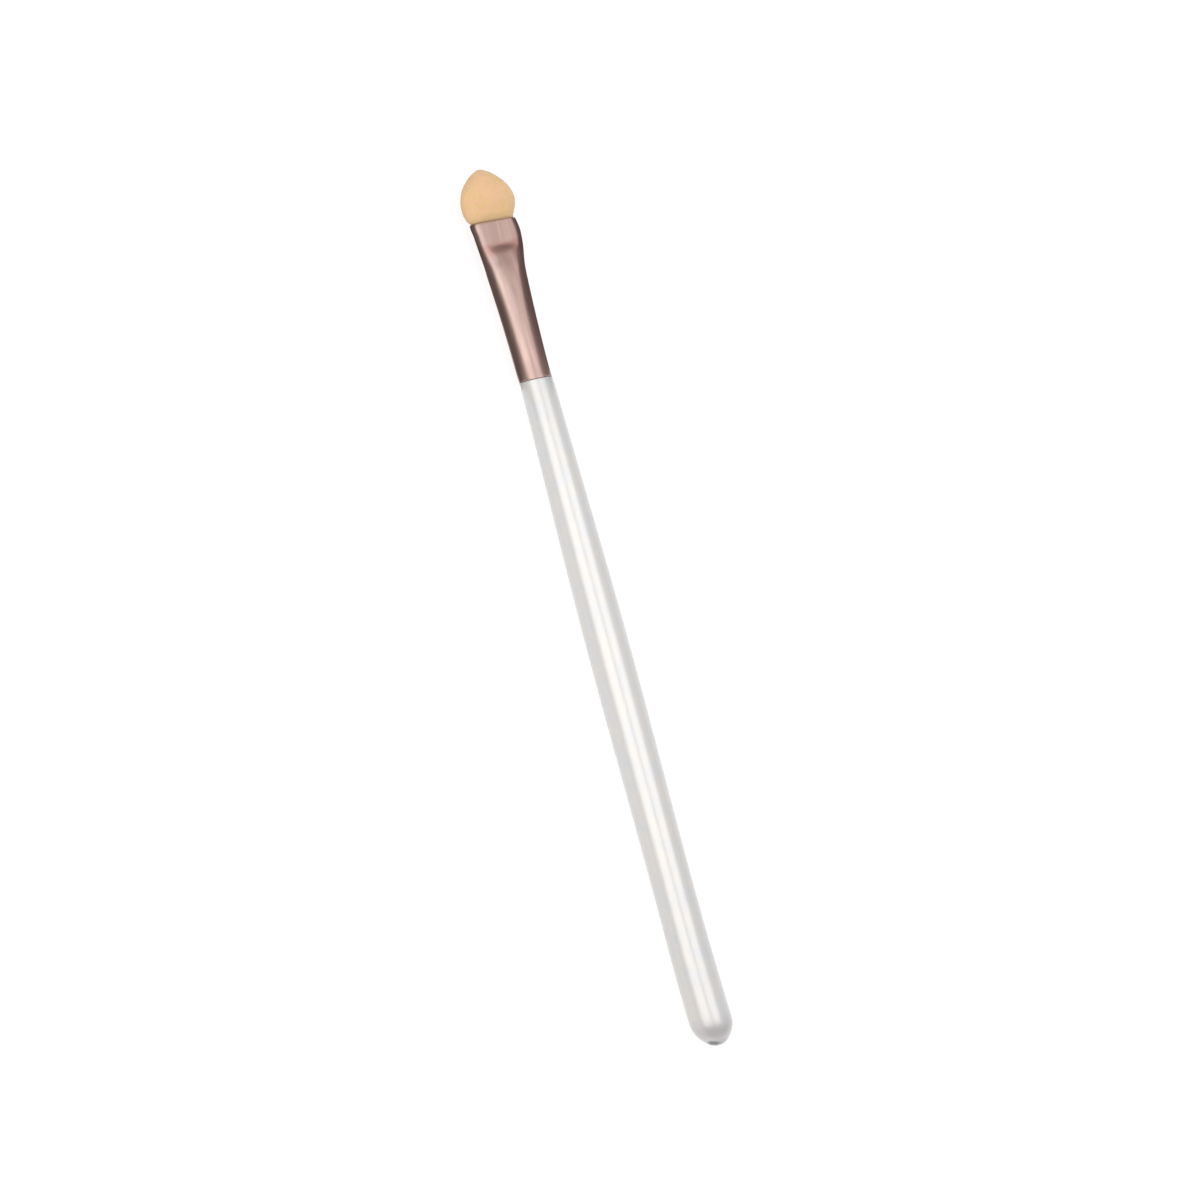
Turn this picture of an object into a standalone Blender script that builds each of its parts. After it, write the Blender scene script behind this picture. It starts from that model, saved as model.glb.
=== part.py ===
"""Sponge-tip eyeshadow applicator, modelled as the pieces it is made of.

The tool is drawn upright, with the handle's butt at the bottom and the foam tip at the
top. Its root empty then lays it down on the handle, with the tip along +Y and the front
of the foam up. All lengths are in metres.
"""

import math

import bmesh
import bpy

# Lengths along the axis
HANDLE_LENGTH = 0.1140
FERRULE_LENGTH = 0.0271
SPONGE_REACH = 0.0089

# Turned handle: station heights are measured from the butt
BUTT_RADIUS = 0.0035
DOME_LENGTH = 0.0046
WAIST_HEIGHT = 0.0284
WAIST_RADIUS = 0.00333
BELLY_HEIGHT = 0.0630
BELLY_RADIUS = 0.0035
SHOULDER_EDGE = 0.00008
CENTRE_MARK_RADIUS = 0.00066
CENTRE_MARK_DEPTH = 0.00025
DOME_RADIUS_SHARES = (0.36, 0.56, 0.72, 0.83, 0.92, 0.975)
DOME_HEIGHT_SHARES = (0.075, 0.225, 0.37, 0.51, 0.65, 0.80)

# Tenon of the handle, glued inside the ferrule
TENON_LENGTH = 0.0085
TENON_CHAMFER = 0.0004
TENON_GLUE_FILM = 0.0002

# Ferrule: a round tube that is flattened towards its mouth
FERRULE_END_RADIUS = 0.0027
FERRULE_WALL = 0.0003
SHOULDER_WIDTH = 0.0070
SHOULDER_THICKNESS = 0.0040
MOUTH_WIDTH = 0.0081
MOUTH_THICKNESS = 0.0028
LAND_LENGTH = 0.00415
LAND_RAMP = 0.0029
MOUTH_TUCK = 0.0001
MOUTH_TUCK_LENGTH = 0.0010
LIP_EDGE = 0.00006

# Foam tip: two crowned layers bonded edge to edge
SPONGE_WIDTH = 0.0096
SPONGE_THICKNESS = 0.0046
SPONGE_SWELL_LENGTH = 0.0032
SPONGE_ROOT_DEPTH = 0.0049
FOAM_SEAM = 0.0001
TIP_ROUND_SHARE = 0.45
TIP_CUT_SHARE = 0.985
CROWN_FULL_SHARE = 0.35

# Flat core inside the foam, with a stem down the ferrule
CORE_THICKNESS = 0.0008
CORE_PADDLE_WIDTH = 0.0040
CORE_STEM_WIDTH = 0.0022
CORE_REACH = 0.0056
CORE_STEM_DEPTH = 0.0140
CORE_TAPER_LENGTH = 0.0030
CORE_EDGE = 0.00012

# Clearance left between pieces that touch or are glued
FIT_GAP = 0.00005

# Facets: the count round the axis leaves one facet flat on top and one flat below
TURN_STEPS = 30
SWEEP_STEPS = 9
CROWN_STEPS = 20
CORE_END_STEPS = 12
MERGE_DISTANCE = 0.000001
SHARP_ANGLE_DEGREES = 32

FERRULE_BASE = HANDLE_LENGTH
MOUTH_LEVEL = HANDLE_LENGTH + FERRULE_LENGTH
TIP_LEVEL = MOUTH_LEVEL + SPONGE_REACH
LAND_LEVEL = FERRULE_LENGTH - LAND_LENGTH
SHOULDER_LEVEL = LAND_LEVEL - LAND_RAMP
TUCK_LEVEL = FERRULE_LENGTH - MOUTH_TUCK_LENGTH


def smooth_step(share):
    """Goes from 0 to 1, level at both ends."""
    return share * share * (3 - 2 * share)


def ease_out(share, power):
    """Goes from 0 to 1, level at the end only; a higher power starts more steeply."""
    return 1 - (1 - share) ** power


def between(low, high, share):
    return low + (high - low) * share


def shares(count):
    """Even shares from 0 to 1, with both ends."""
    return [step / count for step in range(count + 1)]


def clear_scene():
    for thing in list(bpy.data.objects):
        bpy.data.objects.remove(thing, do_unlink=True)


def new_collection(name):
    collection = bpy.data.collections.new(name)
    bpy.context.scene.collection.children.link(collection)
    return collection


def finish_material(name, colour, roughness, metallic):
    material = bpy.data.materials.new(name)
    material.use_nodes = True
    shader = material.node_tree.nodes["Principled BSDF"]
    shader.inputs["Base Color"].default_value = (*colour, 1)
    shader.inputs["Roughness"].default_value = roughness
    shader.inputs["Metallic"].default_value = metallic
    material.diffuse_color = (*colour, 1)
    return material


def add_piece(name, mesh, material, collection, root):
    """One named piece of the applicator, carried by the root empty."""
    piece = bpy.data.objects.new(name, mesh)
    mesh.materials.append(material)
    collection.objects.link(piece)
    piece.parent = root
    return piece


def smooth_faces(mesh):
    mesh.shade_smooth()
    mesh.set_sharp_from_angle(angle=math.radians(SHARP_ANGLE_DEGREES))


def loft(name, rings, closed_on_itself=False):
    """A mesh through rings of equal point count: capped at both ends, or joined end to end."""
    shape = bmesh.new()
    loops = [[shape.verts.new(point) for point in ring] for ring in rings]
    pairs = list(zip(loops, loops[1:]))
    if closed_on_itself:
        pairs.append((loops[-1], loops[0]))
    else:
        shape.faces.new(loops[0])
        shape.faces.new(loops[-1])
    for lower, upper in pairs:
        for index, corner in enumerate(lower):
            following = (index + 1) % len(lower)
            shape.faces.new((corner, lower[following], upper[following], upper[index]))
    bmesh.ops.recalc_face_normals(shape, faces=shape.faces)
    mesh = bpy.data.meshes.new(name)
    shape.to_mesh(mesh)
    shape.free()
    smooth_faces(mesh)
    return mesh


# Handle


def dome_points():
    """The butt's dome, from the body down to the rim of the centre mark."""
    points = [
        (BUTT_RADIUS * radius, DOME_LENGTH * height)
        for radius, height in zip(DOME_RADIUS_SHARES, DOME_HEIGHT_SHARES)
    ]
    return points[::-1] + [(CENTRE_MARK_RADIUS, 0), (0, CENTRE_MARK_DEPTH)]


def handle_profile():
    """Radius and height of the turned outline, from the tenon's end down to the butt."""
    tenon_radius = FERRULE_END_RADIUS - FERRULE_WALL - TENON_GLUE_FILM - 2 * FIT_GAP
    tenon_top = HANDLE_LENGTH + TENON_LENGTH
    shoulder_top = HANDLE_LENGTH - FIT_GAP
    neck_top = shoulder_top - SHOULDER_EDGE
    points = [
        (0, tenon_top),
        (tenon_radius - TENON_CHAMFER, tenon_top),
        (tenon_radius, tenon_top - TENON_CHAMFER),
        (tenon_radius, shoulder_top),
        (FERRULE_END_RADIUS - SHOULDER_EDGE, shoulder_top),
    ]
    for share in shares(SWEEP_STEPS):
        swell = share + share**2 - share**3
        height = between(neck_top, BELLY_HEIGHT, share)
        points.append((between(FERRULE_END_RADIUS, BELLY_RADIUS, swell), height))
    for share in shares(SWEEP_STEPS)[1:]:
        height = between(BELLY_HEIGHT, WAIST_HEIGHT, share)
        points.append((between(BELLY_RADIUS, WAIST_RADIUS, smooth_step(share)), height))
    for share in shares(SWEEP_STEPS)[1:]:
        height = between(WAIST_HEIGHT, DOME_LENGTH, share)
        points.append((between(WAIST_RADIUS, BUTT_RADIUS, smooth_step(share)), height))
    return points + dome_points()


def make_handle(collection, root):
    """Lacquered wooden handle, turned in one piece with its tenon."""
    shape = bmesh.new()
    corners = [shape.verts.new((radius, 0, height)) for radius, height in handle_profile()]
    for upper, lower in zip(corners, corners[1:]):
        shape.edges.new((upper, lower))
    mesh = bpy.data.meshes.new("handle")
    shape.to_mesh(mesh)
    shape.free()
    lacquer = finish_material("pearl_lacquer", (0.80, 0.78, 0.76), 0.22, 0.0)
    handle = add_piece("handle", mesh, lacquer, collection, root)
    turning = handle.modifiers.new("turning", "SCREW")
    turning.axis = "Z"
    turning.angle = math.tau
    turning.steps = TURN_STEPS
    turning.render_steps = TURN_STEPS
    turning.use_merge_vertices = True
    turning.merge_threshold = MERGE_DISTANCE
    turning.use_smooth_shade = True


# Ferrule


def ferrule_half_width(level):
    """Half the tube's width at this height above its lower end."""
    if level <= SHOULDER_LEVEL:
        flattened = (level / SHOULDER_LEVEL) ** 2
        return between(FERRULE_END_RADIUS, SHOULDER_WIDTH / 2, flattened)
    if level <= TUCK_LEVEL:
        pressed = (level - SHOULDER_LEVEL) / (TUCK_LEVEL - SHOULDER_LEVEL)
        return between(SHOULDER_WIDTH / 2, MOUTH_WIDTH / 2, ease_out(pressed, 2))
    tucked = (level - TUCK_LEVEL) / MOUTH_TUCK_LENGTH
    return MOUTH_WIDTH / 2 - MOUTH_TUCK * tucked**2


def ferrule_half_thickness(level):
    """Half the tube's thickness at this height above its lower end.

    The tube thins steadily as far as the land, and past the shoulder the press takes it
    down to the land: gently at first, and steeply just before the land's edge.
    """
    if level >= LAND_LEVEL:
        return MOUTH_THICKNESS / 2
    flattened = (level / SHOULDER_LEVEL) ** 3
    unpressed = between(FERRULE_END_RADIUS, SHOULDER_THICKNESS / 2, flattened)
    down_the_ramp = max(0, level - SHOULDER_LEVEL) / LAND_RAMP
    pressed = smooth_step(down_the_ramp**2.5)
    return between(unpressed, MOUTH_THICKNESS / 2, pressed)


def oval_ring(half_width, half_thickness, height):
    """A ring with two flat sides and round ends, which is a circle where both halves are equal."""
    flat = half_width - half_thickness
    ring = []
    for step in range(TURN_STEPS):
        angle = math.tau * step / TURN_STEPS
        side = math.copysign(flat, math.cos(angle))
        x = side + half_thickness * math.cos(angle)
        ring.append((x, half_thickness * math.sin(angle), height))
    return ring


def ferrule_ring(level, inset):
    """The tube's section at this level, drawn in all round by the inset."""
    half_width = ferrule_half_width(level) - inset
    half_thickness = ferrule_half_thickness(level) - inset
    return oval_ring(half_width, half_thickness, FERRULE_BASE + level)


def ferrule_levels(low, high):
    """Levels of the tube's sections between these two, which are included."""
    levels = [SHOULDER_LEVEL * share for share in shares(SWEEP_STEPS)]
    levels += [SHOULDER_LEVEL + LAND_RAMP * share for share in shares(8)[1:]]
    levels += [between(LAND_LEVEL, TUCK_LEVEL, share) for share in shares(4)[1:]]
    levels += [between(TUCK_LEVEL, FERRULE_LENGTH, share) for share in shares(2)[1:]]
    inner = [level for level in levels if low + FIT_GAP < level < high - FIT_GAP]
    return [low] + inner + [high]


def make_ferrule(collection, root):
    """Anodised tube: round at the handle, flattened at the foam, with a land pressed on each face."""
    lip_level = FERRULE_LENGTH - LIP_EDGE
    outer = [ferrule_ring(level, 0) for level in ferrule_levels(0, lip_level)]
    inner = [ferrule_ring(level, FERRULE_WALL) for level in ferrule_levels(0, lip_level)]
    lip = [
        ferrule_ring(FERRULE_LENGTH, LIP_EDGE),
        ferrule_ring(FERRULE_LENGTH, FERRULE_WALL - LIP_EDGE),
    ]
    mesh = loft("ferrule", outer + lip + inner[::-1], closed_on_itself=True)
    anodised = finish_material("rose_bronze_anodised", (0.58, 0.41, 0.36), 0.30, 1.0)
    add_piece("ferrule", mesh, anodised, collection, root)


# Core


def core_outline(clearance):
    """Half widths and heights of the core's outline, grown by the clearance."""
    paddle = CORE_PADDLE_WIDTH / 2
    end_centre = MOUTH_LEVEL + CORE_REACH - paddle
    root_level = MOUTH_LEVEL - SPONGE_ROOT_DEPTH
    stem_end = MOUTH_LEVEL - CORE_STEM_DEPTH
    stem = CORE_STEM_WIDTH / 2 + clearance
    right = [
        (stem, stem_end - clearance),
        (stem, root_level - CORE_TAPER_LENGTH),
        (paddle + clearance, root_level),
    ]
    for share in shares(CORE_END_STEPS):
        angle = math.pi * share
        reach = paddle + clearance
        right.append((reach * math.cos(angle), end_centre + reach * math.sin(angle)))
    left = [
        (-paddle - clearance, root_level),
        (-stem, root_level - CORE_TAPER_LENGTH),
        (-stem, stem_end - clearance),
    ]
    return right + left


def core_plate(name, clearance):
    """The core's flat outline made into a closed plate, in the plane between the foam layers."""
    outline = core_outline(clearance)
    curve = bpy.data.curves.new(name + "_outline", "CURVE")
    curve.dimensions = "2D"
    curve.fill_mode = "BOTH"
    curve.extrude = CORE_THICKNESS / 2 + clearance
    spline = curve.splines.new("POLY")
    spline.points.add(len(outline) - 1)
    for point, (x, height) in zip(spline.points, outline):
        point.co = (x, height, 0, 1)
    spline.use_cyclic_u = True
    guide = bpy.data.objects.new(name + "_guide", curve)
    bpy.context.scene.collection.objects.link(guide)
    guide.rotation_euler = (math.pi / 2, 0, 0)
    bpy.context.view_layer.update()
    graph = bpy.context.evaluated_depsgraph_get()
    mesh = bpy.data.meshes.new_from_object(guide.evaluated_get(graph))
    mesh.name = name
    mesh.transform(guide.matrix_world)
    bpy.data.objects.remove(guide, do_unlink=True)
    shape = bmesh.new()
    shape.from_mesh(mesh)
    bmesh.ops.remove_doubles(shape, verts=shape.verts, dist=MERGE_DISTANCE)
    bmesh.ops.recalc_face_normals(shape, faces=shape.faces)
    shape.to_mesh(mesh)
    shape.free()
    return mesh


def make_core(collection, root):
    """Moulded plastic core: a paddle between the foam layers and a stem set in glue."""
    plastic = finish_material("core_plastic", (0.82, 0.80, 0.76), 0.45, 0.0)
    mesh = core_plate("applicator_core", 0)
    core = add_piece("applicator_core", mesh, plastic, collection, root)
    rounding = core.modifiers.new("rounding", "BEVEL")
    rounding.width = CORE_EDGE
    rounding.segments = 1
    rounding.limit_method = "ANGLE"


def make_core_cutter(collection, root):
    """The room that the core takes in the foam and in the glue."""
    cutter = bpy.data.objects.new("core_cutter", core_plate("core_cutter", FIT_GAP))
    collection.objects.link(cutter)
    cutter.parent = root
    cutter.hide_render = True
    cutter.display_type = "WIRE"
    return cutter


def cut_core_room(piece, cutter):
    pocket = piece.modifiers.new("core_pocket", "BOOLEAN")
    pocket.operation = "DIFFERENCE"
    pocket.solver = "EXACT"
    pocket.object = cutter


# Foam tip


def foam_stations():
    """Height, half width, half thickness and crown share of each foam section, from the root up.

    The crown share is 0 where the foam is squeezed flat in the ferrule and 1 in the free tip.
    """
    inset = FERRULE_WALL + FIT_GAP
    stations = []
    for level in ferrule_levels(FERRULE_LENGTH - SPONGE_ROOT_DEPTH, FERRULE_LENGTH):
        half_width = ferrule_half_width(level) - inset
        half_thickness = ferrule_half_thickness(level) - inset
        stations.append((FERRULE_BASE + level, half_width, half_thickness, 0))
    mouth_width, mouth_thickness = stations[-1][1:3]
    for share in shares(SWEEP_STEPS)[1:]:
        swell = ease_out(share, 2)
        bulge = ease_out(share, 3)
        height = MOUTH_LEVEL + SPONGE_SWELL_LENGTH * share
        half_width = between(mouth_width, SPONGE_WIDTH / 2, swell)
        half_thickness = between(mouth_thickness, SPONGE_THICKNESS / 2, bulge)
        stations.append((height, half_width, half_thickness, bulge))
    for share in shares(SWEEP_STEPS)[1:]:
        reach = TIP_CUT_SHARE * math.sin(share * math.pi / 2)
        taper = 1 - reach**2
        point = between(taper, math.sqrt(taper), TIP_ROUND_SHARE)
        height = between(MOUTH_LEVEL + SPONGE_SWELL_LENGTH, TIP_LEVEL, reach / TIP_CUT_SHARE)
        crown = math.sqrt(taper)
        stations.append((height, SPONGE_WIDTH / 2 * point, SPONGE_THICKNESS / 2 * crown, 1))
    return stations


def crown_height(across, half_width, half_thickness, crown):
    """Height of a foam layer at this share of its half width, above the bonded plane."""
    free = math.sqrt(1 - across**2)
    full = math.sqrt(1 - across**4)
    crowned = half_thickness * between(free, full, CROWN_FULL_SHARE)
    past_flat = abs(across) * half_width - (half_width - half_thickness)
    squeezed = math.sqrt(max(0, half_thickness**2 - max(0, past_flat) ** 2))
    return between(squeezed, crowned, crown)


def foam_rings(side):
    """Sections of one foam layer; side is -1 for the front and 1 for the back."""
    rings = []
    for height, half_width, half_thickness, crown in foam_stations():
        ring = []
        for share in shares(CROWN_STEPS):
            across = -math.cos(math.pi * share)
            rise = crown_height(across, half_width, half_thickness, crown)
            ring.append((half_width * across, side * max(FOAM_SEAM / 2, rise), height))
        rings.append(ring)
    return rings


def make_foam_layer(name, side, material, cutter, collection, root):
    """One layer of the foam tip, crowned outside and hollowed for half of the core."""
    layer = add_piece(name, loft(name, foam_rings(side)), material, collection, root)
    cut_core_room(layer, cutter)


# Adhesive


def make_throat_adhesive(cutter, collection, root):
    """Glue that fills the ferrule's throat round the core's stem."""
    low = TENON_LENGTH + FIT_GAP
    high = FERRULE_LENGTH - SPONGE_ROOT_DEPTH - FIT_GAP
    inset = FERRULE_WALL + FIT_GAP
    rings = [ferrule_ring(level, inset) for level in ferrule_levels(low, high)]
    glue = finish_material("throat_glue", (0.70, 0.62, 0.44), 0.50, 0.0)
    plug = add_piece("throat_adhesive", loft("throat_adhesive", rings), glue, collection, root)
    cut_core_room(plug, cutter)


def make_tenon_adhesive(collection, root):
    """Thin film of glue between the tenon and the ferrule."""
    inset = FERRULE_WALL + FIT_GAP
    bore = FERRULE_END_RADIUS - FERRULE_WALL - TENON_GLUE_FILM - FIT_GAP
    levels = ferrule_levels(FIT_GAP, TENON_LENGTH - TENON_CHAMFER)
    outer = [ferrule_ring(level, inset) for level in levels]
    inner = [oval_ring(bore, bore, FERRULE_BASE + level) for level in levels]
    glue = finish_material("tenon_glue", (0.74, 0.66, 0.48), 0.50, 0.0)
    mesh = loft("tenon_adhesive", outer + inner[::-1], closed_on_itself=True)
    add_piece("tenon_adhesive", mesh, glue, collection, root)


def make_root(collection):
    """The empty that lays the upright tool down on its handle."""
    root = bpy.data.objects.new("applicator_root", None)
    collection.objects.link(root)
    rest_radius = max(BUTT_RADIUS, BELLY_RADIUS) * math.cos(math.pi / TURN_STEPS)
    root.location = (0, -TIP_LEVEL / 2, rest_radius)
    root.rotation_euler = (-math.pi / 2, 0, 0)
    return root


def main():
    clear_scene()
    pieces = new_collection("eyeshadow_applicator")
    cutters = new_collection("cutters")
    root = make_root(pieces)
    make_handle(pieces, root)
    make_ferrule(pieces, root)
    make_tenon_adhesive(pieces, root)
    make_core(pieces, root)
    cutter = make_core_cutter(cutters, root)
    make_throat_adhesive(cutter, pieces, root)
    foam = finish_material("foam_front", (0.84, 0.56, 0.30), 0.95, 0.0)
    make_foam_layer("sponge_front", -1, foam, cutter, pieces, root)
    foam = finish_material("foam_back", (0.82, 0.54, 0.29), 0.95, 0.0)
    make_foam_layer("sponge_back", 1, foam, cutter, pieces, root)


main()
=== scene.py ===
"""Studio scene of the sponge-tip eyeshadow applicator.

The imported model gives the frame. The four pieces that show are built again here with
finer surfaces, on the CAD model's own sizes, and every piece gets its material.
Lengths are in metres: +Y runs from the butt to the foam tip and +Z is up.
"""

import math

import bmesh
import bpy
from mathutils import Matrix, Vector, noise


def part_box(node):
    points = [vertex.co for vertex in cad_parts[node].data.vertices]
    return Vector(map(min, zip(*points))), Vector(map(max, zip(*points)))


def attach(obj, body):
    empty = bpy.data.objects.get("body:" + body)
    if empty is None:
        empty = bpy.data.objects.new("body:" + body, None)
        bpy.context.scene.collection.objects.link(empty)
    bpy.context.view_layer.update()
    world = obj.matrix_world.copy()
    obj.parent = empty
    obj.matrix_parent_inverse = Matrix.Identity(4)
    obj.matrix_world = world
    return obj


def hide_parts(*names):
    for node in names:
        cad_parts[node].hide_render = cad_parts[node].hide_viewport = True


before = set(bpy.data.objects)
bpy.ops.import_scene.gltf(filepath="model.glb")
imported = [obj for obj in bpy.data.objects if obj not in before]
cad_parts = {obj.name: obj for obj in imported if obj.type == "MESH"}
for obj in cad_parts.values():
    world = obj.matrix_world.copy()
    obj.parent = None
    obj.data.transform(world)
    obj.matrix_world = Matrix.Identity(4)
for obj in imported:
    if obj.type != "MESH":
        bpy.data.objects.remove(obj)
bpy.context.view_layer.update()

MM = 0.001

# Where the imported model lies
HANDLE_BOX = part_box("handle")
BUTT_Y = HANDLE_BOX[0].y
AXIS_Z = (HANDLE_BOX[0].z + HANDLE_BOX[1].z) / 2
TIP_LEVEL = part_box("sponge_front")[1].y - BUTT_Y

# Sizes of the real pieces, within 0.2 mm of the CAD source's. Levels are heights above
# the butt, and in the ferrule's own sizes above the handle's end
HANDLE_LENGTH = 114.0 * MM
BUTT_RADIUS = 3.56 * MM
DOME_LENGTH = 4.6 * MM
WAIST_LEVEL = 28.4 * MM
WAIST_RADIUS = 3.40 * MM
BELLY_LEVEL = 63.0 * MM
BELLY_RADIUS = 3.555 * MM
NECK_RADIUS = 2.80 * MM
SHOULDER_EDGE = 0.08 * MM
TENON_LENGTH = 8.5 * MM
TENON_RADIUS = 2.1 * MM
TENON_CHAMFER = 0.4 * MM
FIT_GAP = 0.05 * MM
# The dome at the butt: shares of its radius and of its length
DOME_SHARES = (
    (0.41, 0.075),
    (0.62, 0.225),
    (0.77, 0.37),
    (0.868, 0.51),
    (0.945, 0.65),
    (0.985, 0.80),
)
# The dished centre mark: share of its depth, and distance from the axis
MARK_DEPTH = 0.25 * MM
MARK_RADIUS = 0.66 * MM
MARK_RIM = 0.08 * MM
MARK_PROFILE = (
    (1.0, 0.02 * MM),
    (0.80, 0.16 * MM),
    (0.46, 0.36 * MM),
    (0.15, 0.54 * MM),
    (0.01, MARK_RADIUS),
)

# The ferrule is round at the handle and flattens up to its shoulder, from where a ramp
# leads down to the flat land before its mouth, on both faces
FERRULE_LENGTH = 27.1 * MM
FERRULE_RADIUS = 2.765 * MM
FERRULE_WALL = 0.3 * MM
SHOULDER_WIDTH = 7.07 * MM
SHOULDER_THICKNESS = 4.0 * MM
SHOULDER_OVAL_SHARE = 0.5
SHOULDER_DISH = 0.08 * MM
SHOULDER_DISH_REACH = 7.5 * MM
SHOULDER_EASE = 1.2 * MM
OVAL_REACH = 10 * MM
DISH_POWER = 1.5
MOUTH_WIDTH = 8.30 * MM
MOUTH_THICKNESS = 2.8 * MM
MOUTH_TUCK = 0.1 * MM
MOUTH_TUCK_LENGTH = 1.0 * MM
LIP_ROUND = 0.07 * MM
LAND_LENGTH = 4.05 * MM
LAND_RAMP = 3.1 * MM
LAND_RAMP_POWER = 2.3
LAND_ARCH = 0.24 * MM
LAND_ARCH_MARGIN = 0.35 * MM
LAND_OVAL_SHARE = 0.24
LAND_DISH = 0.025 * MM
LAND_END_EASE = 0.5
LAND_END_LEVELS = (18.8 * MM, 23.1 * MM)
# The tube's edge at the handle, a little rounded: level and inset of its rings
TUBE_EDGE = ((0.0, 0.05 * MM), (0.02 * MM, 0.015 * MM))
TUBE_EDGE_LENGTH = 0.05 * MM

SPONGE_WIDTH = 9.6 * MM
SPONGE_THICKNESS = 4.6 * MM
SPONGE_ROOT = 4.9 * MM
SWELL_LENGTH = 3.2 * MM
TIP_ROUND_SHARE = 0.42
TIP_LAST_SHARE = 0.996
ROOT_PINCH = 0.12 * MM
ROOT_PINCH_REACH = 0.8 * MM
CROWN_FULL_SHARE = 0.35
# The foam's thin edge: inset in mm from the side and rise in half seams, full size
# where the foam is at least SEAM_FULL thick
SEAM_HALF = 0.05 * MM
SEAM_FULL = 0.5 * MM
SEAM_TURN = ((0.42, 1.0), (0.15, 1.0), (0.05, 1.6), (0.012, 2.6))
SEAM_CLEARANCE = 1.05
# The foam's face: cells a mm and height in mm of its waves, dents and grain, and where
# they and the puckers at the mouth come in. The mouth holds the foam's first bit still
FOAM_WAVES = ((0.42, 0.035), (1.3, 0.014), (4.5, 0.010))
WAVES_FULL = 0.9 * MM
WAVES_RISE = (0.14 * MM, 0.44 * MM)
HELD_LENGTH = 0.05 * MM
PUCKER_CELLS = (1.15, 0.25)
PUCKER_HEIGHT = 0.10
PUCKER_REACH = 0.55 * MM
PUCKER_FULL = 0.3 * MM
PUCKER_RISE = (0.3 * MM, 0.8 * MM)

# This tool's own irregularities, as the photo shows them: its mouth is a little askew,
# and its pressed end, its foam and its butt sit a little off the axis
SKEW_SHARE = 0.042
SKEW_REACH = 12.0 * MM
BUTT_LEAN = 0.44 * MM
BUTT_LEAN_REACH = 20.0 * MM
BUTT_SKEW_SHARE = 0.07
BELLY_LEAN = 0.08 * MM
TUBE_LEAN = -0.09 * MM
PRESSED_LEAN = 0.16 * MM
MOUTH_LEAN = -0.10 * MM
FOAM_ROOT_LEAN = -0.29 * MM
TIP_LEAN = -0.17 * MM
LEANS = (
    (0.0, BELLY_LEAN),
    (111.8 * MM, BELLY_LEAN),
    (116.2 * MM, TUBE_LEAN),
    (131.5 * MM, TUBE_LEAN),
    (137.5 * MM, PRESSED_LEAN),
    (138.8 * MM, PRESSED_LEAN),
    (141.1 * MM, MOUTH_LEAN),
    (141.7 * MM, FOAM_ROOT_LEAN),
    (144.6 * MM, 0.0),
    (150.0 * MM, TIP_LEAN),
)

MOUTH_LEVEL = HANDLE_LENGTH + FERRULE_LENGTH
LAND_LEVEL = FERRULE_LENGTH - LAND_LENGTH
SHOULDER_LEVEL = LAND_LEVEL - LAND_RAMP
TUCK_LEVEL = FERRULE_LENGTH - MOUTH_TUCK_LENGTH

# Points of a ring
HANDLE_POINTS = 144
FERRULE_POINTS = 200
FOAM_POINTS = 84


# Small maths


def smooth_step(share):
    share = min(1.0, max(0.0, share))
    return share * share * (3 - 2 * share)


def ease_out(share, power):
    return 1 - (1 - share) ** power


def between(low, high, share):
    return low + (high - low) * share


def shares(count):
    return [step / count for step in range(count + 1)]


def quarter_turn(count):
    """Angles from nothing to a right angle, in so many steps."""
    return [math.pi / 2 * step / count for step in range(count + 1)]


def spline(points, steps):
    """A smooth curve through the given points, with so many steps between two."""
    ends = [points[0], *points, points[-1]]
    curve = []
    for before, start, end, after in zip(ends, ends[1:], ends[2:], ends[3:]):
        for step in range(steps):
            t = step / steps
            curve.append(
                tuple(
                    0.5
                    * (
                        2 * b
                        + (c - a) * t
                        + (2 * a - 5 * b + 4 * c - d) * t * t
                        + (3 * b - a - 3 * c + d) * t**3
                    )
                    for a, b, c, d in zip(before, start, end, after)
                )
            )
    return curve + [points[-1]]


def fade(value, low, high):
    """Goes smoothly from 0 to 1 between these two values."""
    return smooth_step((value - low) / (high - low))


def place(across, level, rise):
    """The point of the scene at this place across, along and above the tool's axis."""
    butt = max(0.0, 1 - level / BUTT_LEAN_REACH) ** 2
    lean = BUTT_LEAN * butt + BELLY_LEAN
    for (low, before), (high, after) in zip(LEANS, LEANS[1:]):
        lean += (after - before) * fade(level, low, high)
    askew = fade(level, HANDLE_LENGTH - SKEW_REACH, HANDLE_LENGTH)
    askew -= fade(level, MOUTH_LEVEL, MOUTH_LEVEL + SWELL_LENGTH)
    along = level - across * (SKEW_SHARE * askew + BUTT_SKEW_SHARE * butt)
    return (across + lean, BUTT_Y + along, AXIS_Z + rise)


# Meshes


def as_mesh(name, shape):
    mesh = bpy.data.meshes.new(name)
    shape.to_mesh(mesh)
    shape.free()
    return mesh


def skin(name, rings, joined=False, sharp_degrees=38):
    """A smooth mesh through rings of equal point count, capped, or joined end to end."""
    shape = bmesh.new()
    loops = [[shape.verts.new(point) for point in ring] for ring in rings]
    pairs = list(zip(loops, loops[1:]))
    if joined:
        pairs.append((loops[-1], loops[0]))
    else:
        shape.faces.new(loops[0])
        shape.faces.new(loops[-1])
    for lower, upper in pairs:
        for index, corner in enumerate(lower):
            following = (index + 1) % len(lower)
            shape.faces.new((corner, lower[following], upper[following], upper[index]))
    bmesh.ops.recalc_face_normals(shape, faces=shape.faces)
    mesh = as_mesh(name, shape)
    mesh.shade_smooth()
    mesh.set_sharp_from_angle(angle=math.radians(sharp_degrees))
    return mesh


def add_object(name, mesh, material):
    thing = bpy.data.objects.new(name, mesh)
    mesh.materials.append(material)
    bpy.context.scene.collection.objects.link(thing)
    return thing


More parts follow.
